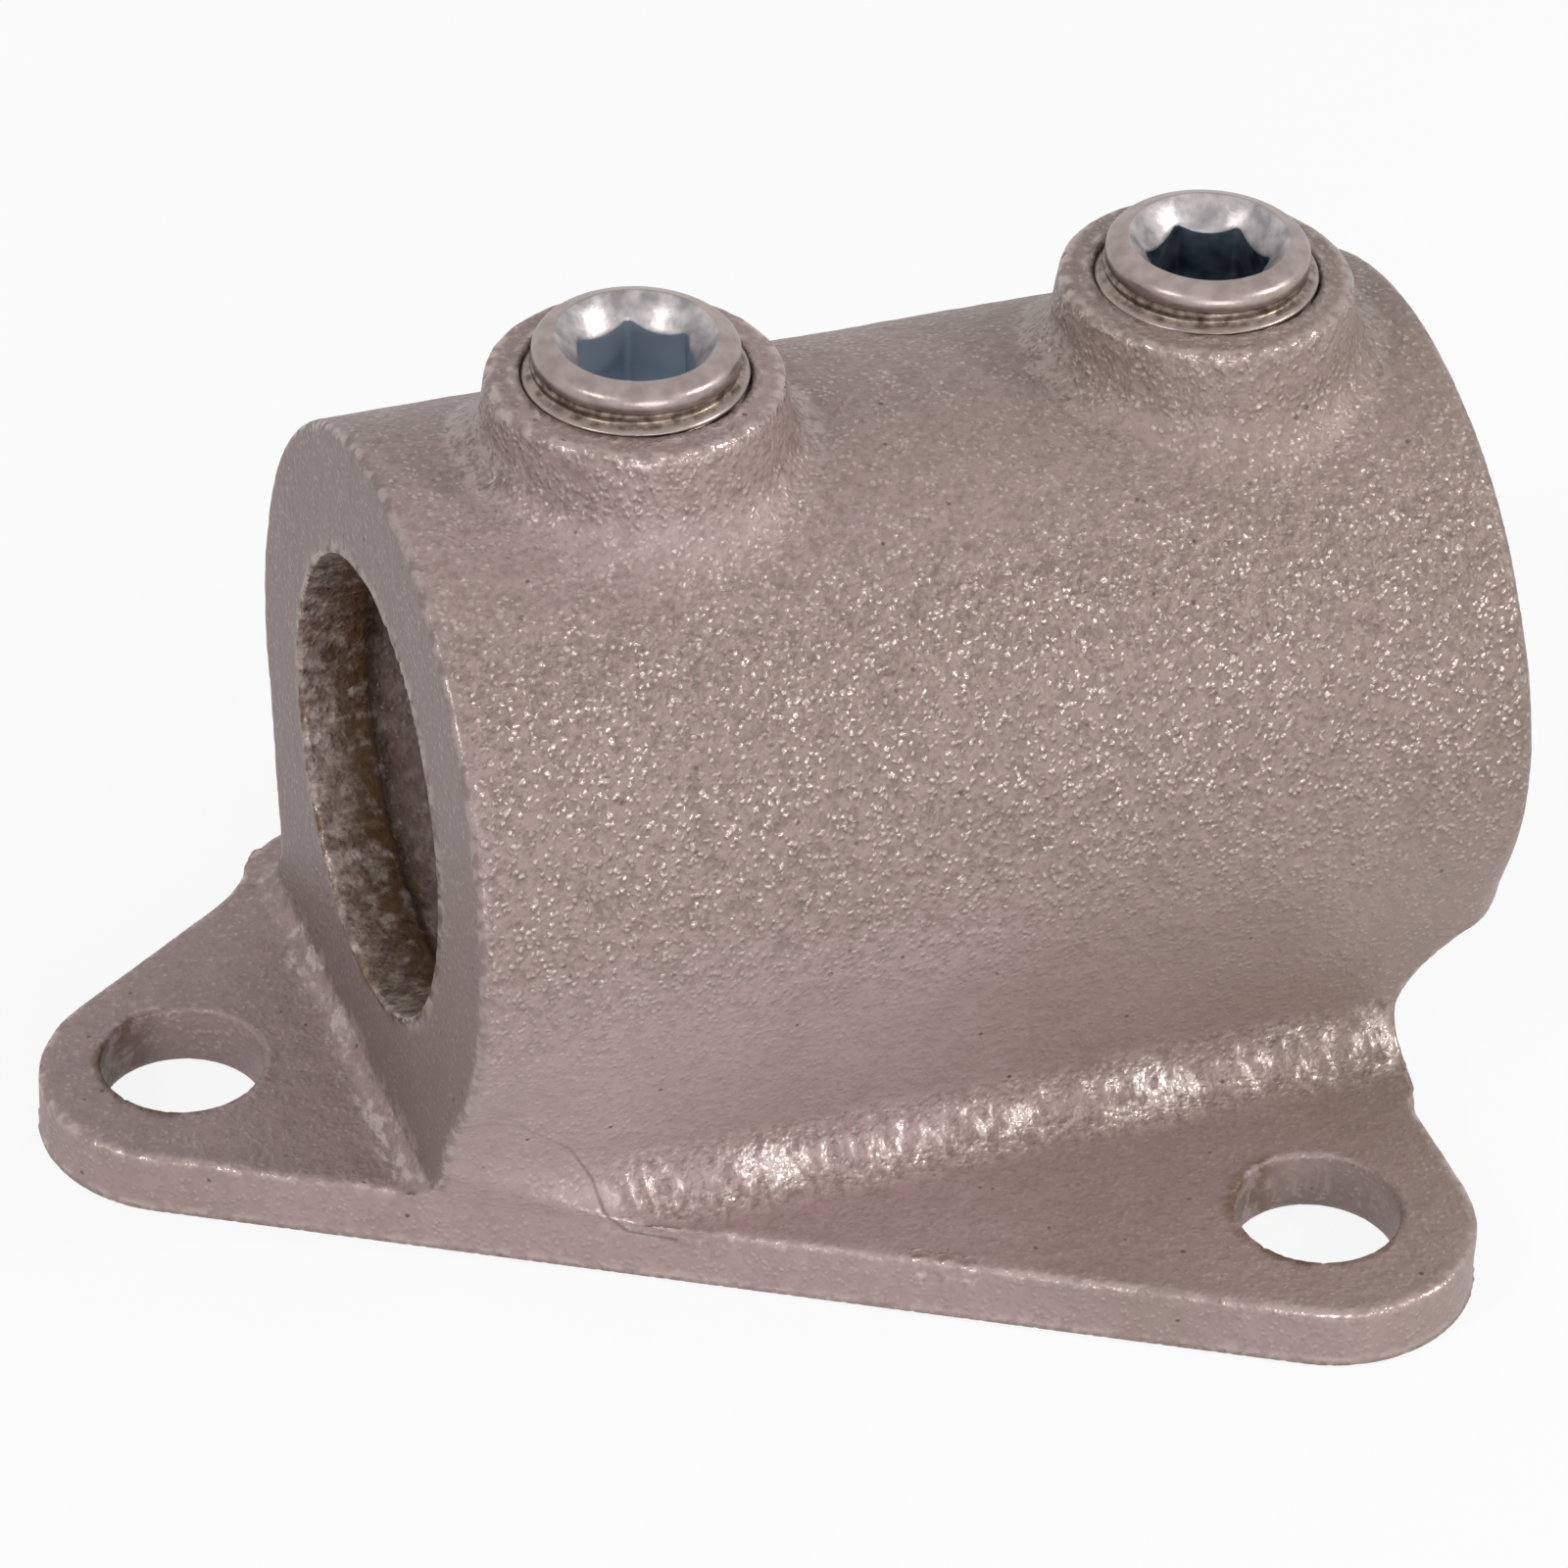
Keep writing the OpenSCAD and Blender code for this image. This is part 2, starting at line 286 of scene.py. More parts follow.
def section_distance(y, z):
    """Cross-section of the barrel with the apron's leaning sides and the fillets at their feet."""
    side, up = np.abs(y), z - AXIS_H
    ring = np.hypot(side, up) - BARREL_R
    wall = side * math.cos(APRON_LEAN) - up * math.sin(APRON_LEAN) - BARREL_R
    below = -side * math.sin(APRON_LEAN) - up * math.cos(APRON_LEAN) > 0
    body = np.where(below, wall, ring)
    return np.maximum(round_join(body, z - FLANGE_T, APRON_FILLET_R), side - foot_y())


def apron_distance(x, y, z, plan):
    """The apron: its section, cut by the toe at the left, the neck at the right and the chin in front."""
    end_gap = (-x - end_x(z)) * math.cos(END_DRAFT)
    toe = np.maximum(round_join(end_gap, z - FLANGE_T, TOE_FILLET_R),
                     -x - end_x(FLANGE_T + TOE_FILLET_R) - TOE_FILLET_R)
    flare = NECK_FLARE_R - np.hypot(x - NECK_X - NECK_FLARE_R, z - NECK_H)
    neck = np.where((z > NECK_H) & (x < NECK_X + NECK_FLARE_R), flare, x - NECK_X)
    forward = (x - LEFT_HOLE[0]) * BACKWARD[0] + (y - LEFT_HOLE[1]) * BACKWARD[1]
    chin_foot = FLANGE_T - CHIN_DROP
    chin = (FRONT_EDGE - (z - chin_foot) * math.tan(CHIN_LEAN) - forward) * math.cos(CHIN_LEAN)
    behind = np.minimum(plan, forward - FRONT_EDGE - 3) - 4 * np.maximum(z - NECK_H + 0.5, 0)

    upper = ease(z, FLANGE_T + 0.5, FLANGE_T + 6)
    body = round_cut(section_distance(y, z), chin, 0.05 + CHIN_ROUND * upper)
    body = round_cut(body, toe, 0.05 + (BARREL_EDGE_R - 0.3) * upper)
    body = round_cut(body, neck, 0.05 + 0.3 * upper)
    return np.maximum(body, behind)


def barrel_distance(x, y, z):
    ring = np.hypot(y, z - AXIS_H) - BARREL_R
    ends = (np.abs(x) - end_x(z)) * math.cos(END_DRAFT)
    lower_right = ease(AXIS_H - z, -4, 14) * (x > 0)
    return round_cut(ring, ends, BARREL_EDGE_R + (RIGHT_EDGE_R - BARREL_EDGE_R) * lower_right)


def boss_distance(x, y, z, boss_x):
    """A drafted cylinder that stands on the axis plane."""
    out = np.hypot(x - boss_x, y)
    side = (out - BOSS_R - (BOSS_TOP - z) * math.tan(BOSS_DRAFT)) * math.cos(BOSS_DRAFT)
    return np.maximum(round_cut(side, z - BOSS_TOP, BOSS_EDGE_R), AXIS_H - z)


def ball_distance(x, y, z, spot, radius):
    return np.sqrt((x - spot[0]) ** 2 + (y - spot[1]) ** 2 + (z - spot[2]) ** 2) - radius


def casting_distance(x, y, z):
    plan = plan_distance(x, y)
    flange = round_cut(round_cut(plan, z - FLANGE_T, FLANGE_EDGE_R), -z, UNDERSIDE_EDGE_R)
    barrel = barrel_distance(x, y, z)
    ends = (x - end_x(z)) * math.cos(END_DRAFT)
    apron = round_cut(apron_distance(x, y, z, plan), ends, RIGHT_EDGE_R)
    body = np.minimum(apron, barrel)
    for boss_x in SCREW_X:
        boss = boss_distance(x, y, z, boss_x)
        spread = (y / np.maximum(np.hypot(x - boss_x, y), 0.01)) ** 2
        flare = BOSS_FLARE_ALONG + (BOSS_FLARE_ACROSS - BOSS_FLARE_ALONG) * spread
        body = np.where(z > AXIS_H, round_join(body, boss, flare), body)
    for burr in BURRS:
        flange = round_join(flange, ball_distance(x, y, z, burr, BURR_R), BURR_FILLET_R)
    body = np.minimum(body, flange)

    from_axis = np.hypot(y, z - AXIS_H)
    cored = ease(HALF_LEN - np.abs(x), LAND_LEN - 0.4, LAND_LEN + 0.8)
    body = round_cut(body, BORE_R + RELIEF_DEPTH * cored - from_axis, HOLE_RIM_R)
    for boss_x in SCREW_X:
        hole = np.where(z > AXIS_H, THREAD_HOLE_R - np.hypot(x - boss_x, y), -10)
        body = round_cut(body, hole, HOLE_RIM_R)
    for hole_x, hole_y in (LEFT_HOLE, RIGHT_HOLE):
        body = round_cut(body, BOLT_HOLE_R - np.hypot(x - hole_x, y - hole_y), BOLT_RIM_R)
    return np.maximum(body, -z)


probe = [float(casting_distance(*np.array(p, float))) for p in ((0, 0, 1), (0, 0, AXIS_H), (0, -22, 50))]
print("inside the flange, in the bore, in the wall:", [round(p, 2) for p in probe])

# %% [markdown]
# ## From distances to a mesh
# A grid of distances is cut into small cells. Each cell that the surface crosses gets one point, and
# each grid edge that it crosses gets one face between four such points. Marching Cubes would chamfer
# every edge, so the point of a cell is put where the tangent planes at its crossings meet best, and
# edges stay crisp. Blender's own Remesh modifier has a like method, but it needs a mesh to start from.

# %% The mesh of a zero surface
GRID_MM = 0.5
FLATNESS = 0.08          # pull of a cell's middle on its point, which keeps flat faces even


def slopes(distance, points, reach=0.02):
    """Unit vectors that point away from the surface, from small differences."""
    out = np.empty_like(points)
    for axis in range(3):
        step = np.zeros(3)
        step[axis] = reach
        out[:, axis] = distance(*(points + step).T) - distance(*(points - step).T)
    return out / np.maximum(np.linalg.norm(out, axis=1, keepdims=True), 1e-9)


def crossings(field, low, grid):
    """For each axis: the lower corners of the grid edges that cross the surface, and the points."""
    found = []
    for axis in range(3):
        a = np.moveaxis(field, axis, 0)
        edge = np.moveaxis((a[:-1] < 0) != (a[1:] < 0), 0, axis)
        corner = np.argwhere(edge)
        start = field[tuple(corner.T)]
        ahead = corner.copy()
        ahead[:, axis] += 1
        share = start / (start - field[tuple(ahead.T)])
        point = corner.astype(float)
        point[:, axis] += share
        found.append((corner, low + point * grid, start < 0))
    return found


def mesh_of_surface(distance, low, high, grid):
    """Points and quads of the surface where the distance is zero, inside a box."""
    axes = [np.arange(a - 1.5 * grid, b + 2 * grid, grid) for a, b in zip(low, high)]
    origin = np.array([axis[0] for axis in axes])
    field = distance(axes[0][:, None, None], axes[1][None, :, None], axes[2][None, None, :])
    shape = np.array(field.shape)
    found = crossings(field, origin, grid)

    cells, points, normals, quads = [], [], [], []
    for axis, (corner, point, leaves) in enumerate(found):
        b, c = (axis + 1) % 3, (axis + 2) % 3
        normal = slopes(distance, point)
        ring = []
        for shift_b, shift_c in ((-1, -1), (0, -1), (0, 0), (-1, 0)):
            cell = corner.copy()
            cell[:, b] += shift_b
            cell[:, c] += shift_c
            ring.append(np.ravel_multi_index(cell.T, shape))
            points.append(point)
            normals.append(normal)
        cells.extend(ring)
        ring = np.stack(ring, axis=1)
        quads.append(np.where(leaves[:, None], ring, ring[:, ::-1]))
    ids, where = np.unique(np.concatenate(cells), return_inverse=True)
    points, normals = np.concatenate(points), np.concatenate(normals)

    def gather(values):
        return np.bincount(where, weights=values, minlength=len(ids))

    count = gather(np.ones(len(where)))
    centre = np.stack([gather(points[:, i]) for i in range(3)], axis=1) / count[:, None]
    planes = np.einsum("ij,ij->i", normals, points - centre[where])
    pull = np.stack([gather(normals[:, i] * planes) for i in range(3)], axis=1)
    matrix = np.zeros((len(ids), 3, 3))
    for i in range(3):
        for j in range(3):
            matrix[:, i, j] = gather(normals[:, i] * normals[:, j])
        matrix[:, i, i] += FLATNESS * count
    move = np.linalg.solve(matrix, pull[:, :, None])[:, :, 0]
    move = np.clip(move, -0.6 * grid, 0.6 * grid)
    faces = np.searchsorted(ids, np.concatenate(quads))
    return centre + move, faces


def settle(distance, points):
    """Moves points onto the surface along its slope."""
    return points - distance(*points.T)[:, None] * slopes(distance, points)


surface_points, surface_quads = mesh_of_surface(casting_distance, BODY_LOW, BODY_HIGH, GRID_MM)
surface_points = settle(casting_distance, surface_points)
print("casting:", len(surface_points), "points", len(surface_quads), "quads")
print("its box", surface_points.min(0).round(2), surface_points.max(0).round(2))
print("the solid's box", BODY_LOW, BODY_HIGH)

# %% [markdown]
# ## Helpers for nodes and colours
# Every node tree below, of geometry or of a material, is built by one function that adds a node, sets it
# and links it. Colours are written as sRGB hex values, as a colour picker shows them, and one function
# turns them into the renderer's linear values. Both metal finishes are made of the same few kinds of
# shading node, so one more function gives each kind a short name.

# %% Nodes and colours


def add_node(tree, kind, inputs=None, **settings):
    """Adds a node. inputs maps a socket's name or number to a value or to another node's socket."""
    node = tree.nodes.new(kind)
    for name, value in settings.items():
        setattr(node, name, value)
    for key, value in (inputs or {}).items():
        if isinstance(value, bpy.types.NodeSocket):
            tree.links.new(value, node.inputs[key])
        else:
            node.inputs[key].default_value = value
    return node


def add_maths(tree, operation, a, b=0.0):
    return add_node(tree, "ShaderNodeMath", {0: a, 1: b}, operation=operation).outputs[0]


def linear(hex_colour):
    """A colour written as #RRGGBB, as linear red, green, blue and alpha."""
    parts = [int(hex_colour[i:i + 2], 16) / 255 for i in (1, 3, 5)]
    return tuple(p / 12.92 if p <= 0.04045 else ((p + 0.055) / 1.055) ** 2.4 for p in parts) + (1.0,)


def new_material(name):
    material = bpy.data.materials.new(name)
    material.use_nodes = True
    tree = material.node_tree
    tree.nodes.clear()
    return material, tree


def shading_tools(tree):
    """Functions that each add one kind of shading node to a tree and give its result."""
    spot = add_node(tree, "ShaderNodeTexCoord").outputs["Object"]

    def vector(operation, a, b):
        """Vector maths, where b is a number for SCALE and a vector for the rest."""
        key = "Scale" if operation == "SCALE" else 1
        node = add_node(tree, "ShaderNodeVectorMath", {0: a, key: b}, operation=operation)
        return node.outputs["Value" if operation in ("DOT_PRODUCT", "DISTANCE") else "Vector"]

    def noise(size_mm, detail, rough=0.5, shift=0.0, at=spot):
        """Noise about 0.5. A shift in metres keeps noises of like size from lining up."""
        return add_node(tree, "ShaderNodeTexNoise", {
            "Vector": vector("ADD", at, (shift, shift, shift)), "Scale": 1 / (size_mm * MM),
            "Detail": detail, "Roughness": rough}).outputs["Fac"]

    def ramp(value, low, high, to_low=0.0, to_high=1.0):
        """to_low up to the value low, to_high from the value high on, and a straight rise between."""
        return add_node(tree, "ShaderNodeMapRange", {
            "Value": value, "From Min": low, "From Max": high,
            "To Min": to_low, "To Max": to_high}).outputs["Result"]

    def blend(share, a, b):
        return add_node(tree, "ShaderNodeMix", {0: share, 2: a, 3: b}).outputs[0]

    def mix(share, a, b):
        """Colour a where share is 0, colour b where it is 1. Each is a socket or a hex value."""
        a, b = (linear(c) if isinstance(c, str) else c for c in (a, b))
        return add_node(tree, "ShaderNodeMix", {0: share, 6: a, 7: b}, data_type="RGBA").outputs[2]

    def attribute(name):
        return add_node(tree, "ShaderNodeAttribute", attribute_name=name).outputs["Fac"]

    return noise, ramp, blend, mix, attribute, partial(add_maths, tree), vector, spot


def add_metal(tree, colour, metallic, roughness, bump):
    """The shader of a metal, with its output."""
    shader = add_node(tree, "ShaderNodeBsdfPrincipled", {
        "Base Color": colour, "Metallic": metallic, "Roughness": roughness,
        "Normal": bump.outputs["Normal"]})
    add_node(tree, "ShaderNodeOutputMaterial", {"Surface": shader.outputs[0]})


print("mid grey #808080 is", round(linear("#808080")[0], 3), "in linear light")

# %% [markdown]
# ## Galvanised cast iron
# Hot zinc freezes on the rough iron as a thin metal skin that follows every grain of the sand mould, and
# weathers to a dull mauve grey. A wrapped photograph would hold the light of one moment, so the finish is
# built up from what it is on the real part, with some light and shade painted into its colour as well:
#
# 1. A dull oxidised base that reflects little. It drifts from lighter lilac at the left to darker olive
#    at the right, which is painted light: a lilac lit side at the left and shade at the right.
# 2. Grains of the mould, as caps of Voronoi cells with bare zinc on top, whose tops are lightened as
#    painted glints. The same caps, read a little lower down, darken the underside of each grain as
#    painted shadow. Pin holes are what the zinc didn't wet.
# 3. Bare zinc on the edges, which rub bright, and in the fillets, where it ran together in drips. Both
#    are also lightened as painted highlights.
# 4. Oxide in the bore and the threaded holes, rust spots, and a parting mark on the front.
#
# Attributes of the mesh say where the finish changes and where light is painted: sandy (how rough the
# mould was), ends (the end faces, darkened as painted shade), the worn edges and the pooled fillets (bare
# zinc, lightened partly as painted highlight), bore and rusty.

# %% Material of the casting

# Sizes of the noises: fine grain, coarse grain, pin holes and the slow drift of the tone
GRAIN_MM, COARSE_MM, SPECK_MM, PATCH_MM = 0.45, 1.15, 1.9, 24.0
GRAIN_HEIGHT_MM, COARSE_HEIGHT_MM = 0.15, 0.33

# Caps of sand: their spacing, their radius as a share of it, height, stir and the drop of their shade
SAND_MM, SAND_R, SAND_HEIGHT_MM, SAND_STIR_MM, SAND_SHADE_MM = 0.58, 0.5, 0.09, 0.5, 0.22
DRIP_MM, DRIP_HEIGHT_MM = 0.85, 0.32

# The parting mark on the front, as points [x, z], and half its width at the core and at the edge
SEAM_XZ = [(-40.3, 15.9), (-36.3, 15.1), (-32.3, 11.5), (-30.5, 8.1), (-30.0, 5.9), (-28.4, 4.1),
           (-25.2, 3.9)]
SEAM_CORE_MM, SEAM_EDGE_MM = 0.05, 0.22


def galvanised_iron():
    material, tree = new_material("galvanised_cast_iron")
    noise, ramp, blend, mix, attribute, maths, vector, spot = shading_tools(tree)
    place = add_node(tree, "ShaderNodeSeparateXYZ", {0: spot}).outputs
    plus, times, most = (partial(maths, kind) for kind in ("ADD", "MULTIPLY", "MAXIMUM"))

    def sand(lower_mm):
        """1 on the top of each grain of sand, 0 between them, with the grains moved down."""
        at = vector("ADD", spot, (0, 0, lower_mm * MM))
        stir = add_node(tree, "ShaderNodeTexNoise", {
            "Vector": at, "Scale": 1 / (SAND_STIR_MM * MM), "Detail": 1.0})
        at = vector("ADD", at, vector("SCALE", stir.outputs["Color"], SAND_STIR_MM * MM))
        cells = add_node(tree, "ShaderNodeTexVoronoi", {"Vector": at, "Scale": 1 / (SAND_MM * MM)})
        return ramp(cells.outputs["Distance"], SAND_R, 0.05)

    def seam_distance():
        """Distance from the parting mark, seen along Y, with all that lies behind the axis far off."""
        flat = vector("MULTIPLY", spot, (1, 0, 1))
        nearest = 1.0
        for (ax, az), (bx, bz) in zip(SEAM_XZ, SEAM_XZ[1:]):
            length = math.hypot(bx - ax, bz - az)
            way = ((bx - ax) / length, 0, (bz - az) / length)
            from_a = vector("SUBTRACT", flat, (ax * MM, 0, az * MM))
            along = ramp(vector("DOT_PRODUCT", from_a, way), 0, length * MM, 0, length * MM)
            gap = vector("DISTANCE", from_a, vector("SCALE", way, along))
            nearest = maths("MINIMUM", gap, nearest)
        return most(nearest, place[1])

    # Tone of the dull base
    pooled, sandy = attribute("pooled"), attribute("sandy")
    patches = ramp(noise(PATCH_MM, 3.0, 0.55), 0.35, 0.65, -0.3, 0.3)
    # Painted light along the barrel: lighter lilac at the left, darker olive shade at the right, with
    # random patches of tone
    side_light_and_patches = plus(ramp(place[0], -20 * MM, 38 * MM, 0.0, 0.75), patches)
    colour = mix(side_light_and_patches, "#A28D8B", "#8A7A70")
    streaks = ramp(noise(4.0, 4.0, 0.6, 0.31), 0.35, 0.7, 0.0, 0.3)
    colour = mix(streaks, colour, "#8C7975")
    colour = mix(ramp(sandy, 0.4, 1.0, 0.0, 0.7), colour, "#86756C")
    # Painted shade: the end faces are darker
    colour = mix(times(attribute("ends"), 0.9), colour, "#7C6B67")

    # Hollows, pin holes and the painted shadow under each grain
    grain, coarse = noise(GRAIN_MM, 1.0), noise(COARSE_MM, 1.0, shift=0.91)
    deep = ramp(plus(grain, coarse), 0.74, 1.12, 0.75, 0.0)
    colour = mix(times(deep, ramp(sandy, 0.3, 0.9, 0.2, 1.0)), colour, "#6E6058")
    specks = add_node(tree, "ShaderNodeTexVoronoi", {"Vector": spot, "Scale": 1 / (SPECK_MM * MM)})
    pin_hole = ramp(specks.outputs["Distance"], 0.07, 0.13, 1.0, 0.0)
    some = ramp(noise(3.1, 1.0, shift=0.7), 0.54, 0.58)
    colour = mix(times(pin_hole, some), colour, "#5B4C44")
    tops, shade = sand(0.0), sand(SAND_SHADE_MM)
    # Painted shadow under each grain, on the sandy parts
    colour = mix(times(times(shade, sandy), 0.6), colour, "#55463F")

    # Bare zinc: rubbed edges, drips low down and flecks high up in the fillets, tops of the grains,
    # lightened partly as painted highlights
    drips = noise(DRIP_MM, 2.0, at=vector("MULTIPLY", spot, (1.0, 0.5, 0.5)))
    colour = mix(times(pooled, ramp(drips, 0.36, 0.5, 0.5, 0.0)), colour, "#62544C")
    # Rubbed edges: real wear, lightened in the colour below partly as painted highlight
    rubbed_and_sheen = times(attribute("worn"), ramp(coarse, 0.42, 0.58, 0.1, 1.0))
    upper = ramp(place[2], 14 * MM, 24 * MM)
    uneven = ramp(noise(7.0, 1.0, shift=0.23), 0.35, 0.65, -0.1, 0.1)
    runs, flecks = ramp(plus(drips, uneven), 0.5, 0.6), ramp(plus(drips, grain), 0.86, 1.0)
    pools = times(pooled, blend(upper, runs, flecks))
    strewn = ramp(noise(2.6, 2.0, shift=0.37), 0.35, 0.6, 0.35, 1.0)
    # Tops of the grains: bare zinc, and lightened in the colour below as painted glints
    grain_tops_and_glints = times(times(ramp(tops, 0.2, 0.8), sandy), strewn)
    bare = most(most(rubbed_and_sheen, pools), grain_tops_and_glints)
    # Painted highlight in the fillets: brighter low down, fainter high up
    pool_highlight_tone = times(pools, ramp(upper, 0.0, 1.0, 0.75, 0.3))
    # Lighter where bare: real wear on the edges, and painted highlights on the edges, in the fillets and
    # on the grain tops
    bright = most(times(rubbed_and_sheen, 0.35), most(pool_highlight_tone, times(grain_tops_and_glints, 0.8)))
    colour = mix(bright, colour, "#D2C5BE")

    # Oxide, rust and the parting mark
    oxide = mix(ramp(noise(1.3, 4.0, 0.7, 0.13), 0.4, 0.6), "#6E5E56", "#B0A097")
    rust = "#5E4327"
    rust_spots = times(attribute("rusty"), ramp(noise(1.6, 3.0, 0.6, 0.53), 0.38, 0.52))
    rust_film = ramp(noise(5.0, 3.0, 0.6, 0.53), 0.55, 0.7)
    colour = mix(attribute("bore"), colour, mix(most(rust_spots, rust_film), oxide, rust))
    colour = mix(rust_spots, colour, rust)
    seam = ramp(seam_distance(), SEAM_CORE_MM * MM, SEAM_EDGE_MM * MM, 1.0, 0.0)
    colour = mix(times(seam, ramp(place[2], 7 * MM, 15 * MM, 0.6, 0.15)), colour, "#5A4A44")

    # Relief in metres, so the bump's distance is 1
    height = plus(times(coarse, COARSE_HEIGHT_MM * MM), times(grain, GRAIN_HEIGHT_MM * MM))
    height = plus(height, times(tops, SAND_HEIGHT_MM * MM))
    height = plus(height, times(times(drips, pooled), DRIP_HEIGHT_MM * MM))
    bump = add_node(tree, "ShaderNodeBump", {
        "Height": height, "Strength": most(sandy, pooled), "Distance": 1.0})
    add_metal(tree, colour, ramp(bare, 0.0, 1.0, 0.15, 0.85), ramp(bare, 0.0, 1.0, 0.5, 0.24), bump)
    return material


cast_material = galvanised_iron()
print("material", cast_material.name, "with", len(cast_material.node_tree.nodes), "nodes")

# %% [markdown]
# ## The cast skin
# The sand of the mould leaves two marks: slow swells, where it was rammed unevenly, and grains of about
# a millimetre and more. They are in the shape of the real surface, so they belong in the mesh, not only
# in the shading. A Geometry Nodes tree sinks each point along its normal by two noises, and an attribute
# named skin keeps them off the machined holes and the flat underside. Points only sink, so the body
# stays inside the solid's box.

# %% The mesh of the casting and its skin
CAST_TRIANGLES = 190000
SWELL_MM, SWELL_DEPTH_MM = 14, 0.25
SKIN_GRAIN_MM, SKIN_GRAIN_DEPTH_MM = 1.8, 0.16


def mesh_from(name, points_mm, quads):
    mesh = bpy.data.meshes.new(name)
    mesh.vertices.add(len(points_mm))
    mesh.vertices.foreach_set("co", (points_mm * MM).ravel())
    mesh.loops.add(quads.size)
    mesh.loops.foreach_set("vertex_index", quads.ravel())
    mesh.polygons.add(len(quads))
    mesh.polygons.foreach_set("loop_start", np.arange(0, quads.size, 4))
    mesh.update(calc_edges=True)
    mesh.shade_smooth()
    return mesh


def points_of(mesh):
    flat = np.empty(len(mesh.vertices) * 3)
    mesh.vertices.foreach_get("co", flat)
    return flat.reshape(-1, 3) / MM


def set_attribute(mesh, name, values):
    layer = mesh.attributes.get(name) or mesh.attributes.new(name, "FLOAT", "POINT")
    layer.data.foreach_set("value", np.asarray(values, np.float32))


def machined(x, y, z):
    """1 on the bored, threaded and drilled walls and on the mounting face, 0 on the cast skin."""
    from_axis = np.hypot(y, z - AXIS_H)
    marks = [ease(np.abs(from_axis - BORE_R), 0.6, 0.3) * (HALF_LEN - np.abs(x) < LAND_LEN),
             ease(z, 0.5, 0.2)]
    for boss_x in SCREW_X:
        out = np.hypot(x - boss_x, y) - THREAD_HOLE_R
        marks.append(ease(out, 0.6, 0.2) * (z > AXIS_H))
    for hole_x, hole_y in (LEFT_HOLE, RIGHT_HOLE):
        out = np.hypot(x - hole_x, y - hole_y) - BOLT_HOLE_R
        marks.append(ease(out, 0.6, 0.2))
    return np.max(marks, axis=0)


def geometry_tree(name, floats):
    """A Geometry Nodes tree with its named inputs, and the node that gives them."""
    tree = bpy.data.node_groups.new(name, "GeometryNodeTree")
    kinds = [("Geometry", "Geometry"), *((f, "Float") for f in floats), ("Material", "Material")]
    for socket, kind in kinds:
        tree.interface.new_socket(socket, in_out="INPUT", socket_type="NodeSocket" + kind)
    tree.interface.new_socket("Geometry", in_out="OUTPUT", socket_type="NodeSocketGeometry")
    return tree, add_node(tree, "NodeGroupInput").outputs


def move_and_end(tree, given, way, amount):
    """Moves the points by a vector times an amount, makes the result real and gives it its material."""
    offset = add_node(tree, "ShaderNodeVectorMath", {0: way, "Scale": amount}, operation="SCALE")
    moved = add_node(tree, "GeometryNodeSetPosition", {
        "Geometry": given["Geometry"], "Offset": offset.outputs[0]})
    real = add_node(tree, "GeometryNodeRealizeInstances", {"Geometry": moved.outputs[0]})
    dressed = add_node(tree, "GeometryNodeSetMaterial", {
        "Geometry": real.outputs[0], "Material": given["Material"]})
    add_node(tree, "NodeGroupOutput", {"Geometry": dressed.outputs[0]})


def named_attribute(tree, name):
    return add_node(tree, "GeometryNodeInputNamedAttribute", {"Name": name},
                    data_type="FLOAT").outputs[0]


def cast_skin_tree():
    """Sinks each point along its normal by two noises, the swells and the grains."""
    tree, given = geometry_tree("cast_skin", (
        "Swell size", "Swell depth", "Grain size", "Grain depth"))
    maths = partial(add_maths, tree)

    def sink(size, depth, detail):
        noise = add_node(tree, "ShaderNodeTexNoise", {
            "Scale": maths("DIVIDE", 1.0, size), "Detail": detail})
        return maths("MULTIPLY", maths("SUBTRACT", noise.outputs["Fac"], 1.0), depth)

    total = maths("ADD", sink(given["Swell size"], given["Swell depth"], 1.0),
                  sink(given["Grain size"], given["Grain depth"], 2.0))
    normal = add_node(tree, "GeometryNodeInputNormal").outputs[0]
    move_and_end(tree, given, normal, maths("MULTIPLY", total, named_attribute(tree, "skin")))
    return tree


def run_tree(obj, tree, **values):
    """Puts a Geometry Nodes tree on an object, with its inputs set by the sockets' identifiers."""
    modifier = obj.modifiers.new(tree.name, "NODES")
    modifier.node_group = tree
    for item in tree.interface.items_tree:
        key = item.name.lower().replace(" ", "_")
        if item.in_out == "INPUT" and key in values:
            modifier[item.identifier] = values[key]


def finished(obj, name):
    """Turns an object with its modifiers into a plain mesh object at the origin."""
    graph = bpy.context.evaluated_depsgraph_get()
    mesh = bpy.data.meshes.new_from_object(obj.evaluated_get(graph))
    mesh.name = name
    bpy.data.objects.remove(obj)
    return add_object(name, mesh)


def make_casting():
    mesh = mesh_from("casting_blank", surface_points, surface_quads)
    set_attribute(mesh, "skin", 1 - machined(*surface_points.T))
    blank = add_object("casting_blank", mesh)
    run_tree(blank, cast_skin_tree(), swell_size=SWELL_MM * MM, swell_depth=SWELL_DEPTH_MM * MM,
             grain_size=SKIN_GRAIN_MM * MM, grain_depth=SKIN_GRAIN_DEPTH_MM * MM, material=cast_material)
    thin = blank.modifiers.new("thin", "DECIMATE")
    thin.ratio = CAST_TRIANGLES / (2 * len(surface_quads))
    return finished(blank, "casting")


casting = make_casting()
print("casting:", len(casting.data.polygons), "faces")

# %% [markdown]
# ## Where the finish of the casting changes
# On the real part the edges are worn by handling, and the fillets hold the zinc that ran together as the
# part was lifted from the bath; the material also lightens both with painted highlights. Neither needs a
# list: where the distance field turns outward over a short reach there is an edge, and where it turns
# inward there is a fillet. The other zones follow from the casting's own sizes.

# %% Attributes for the material


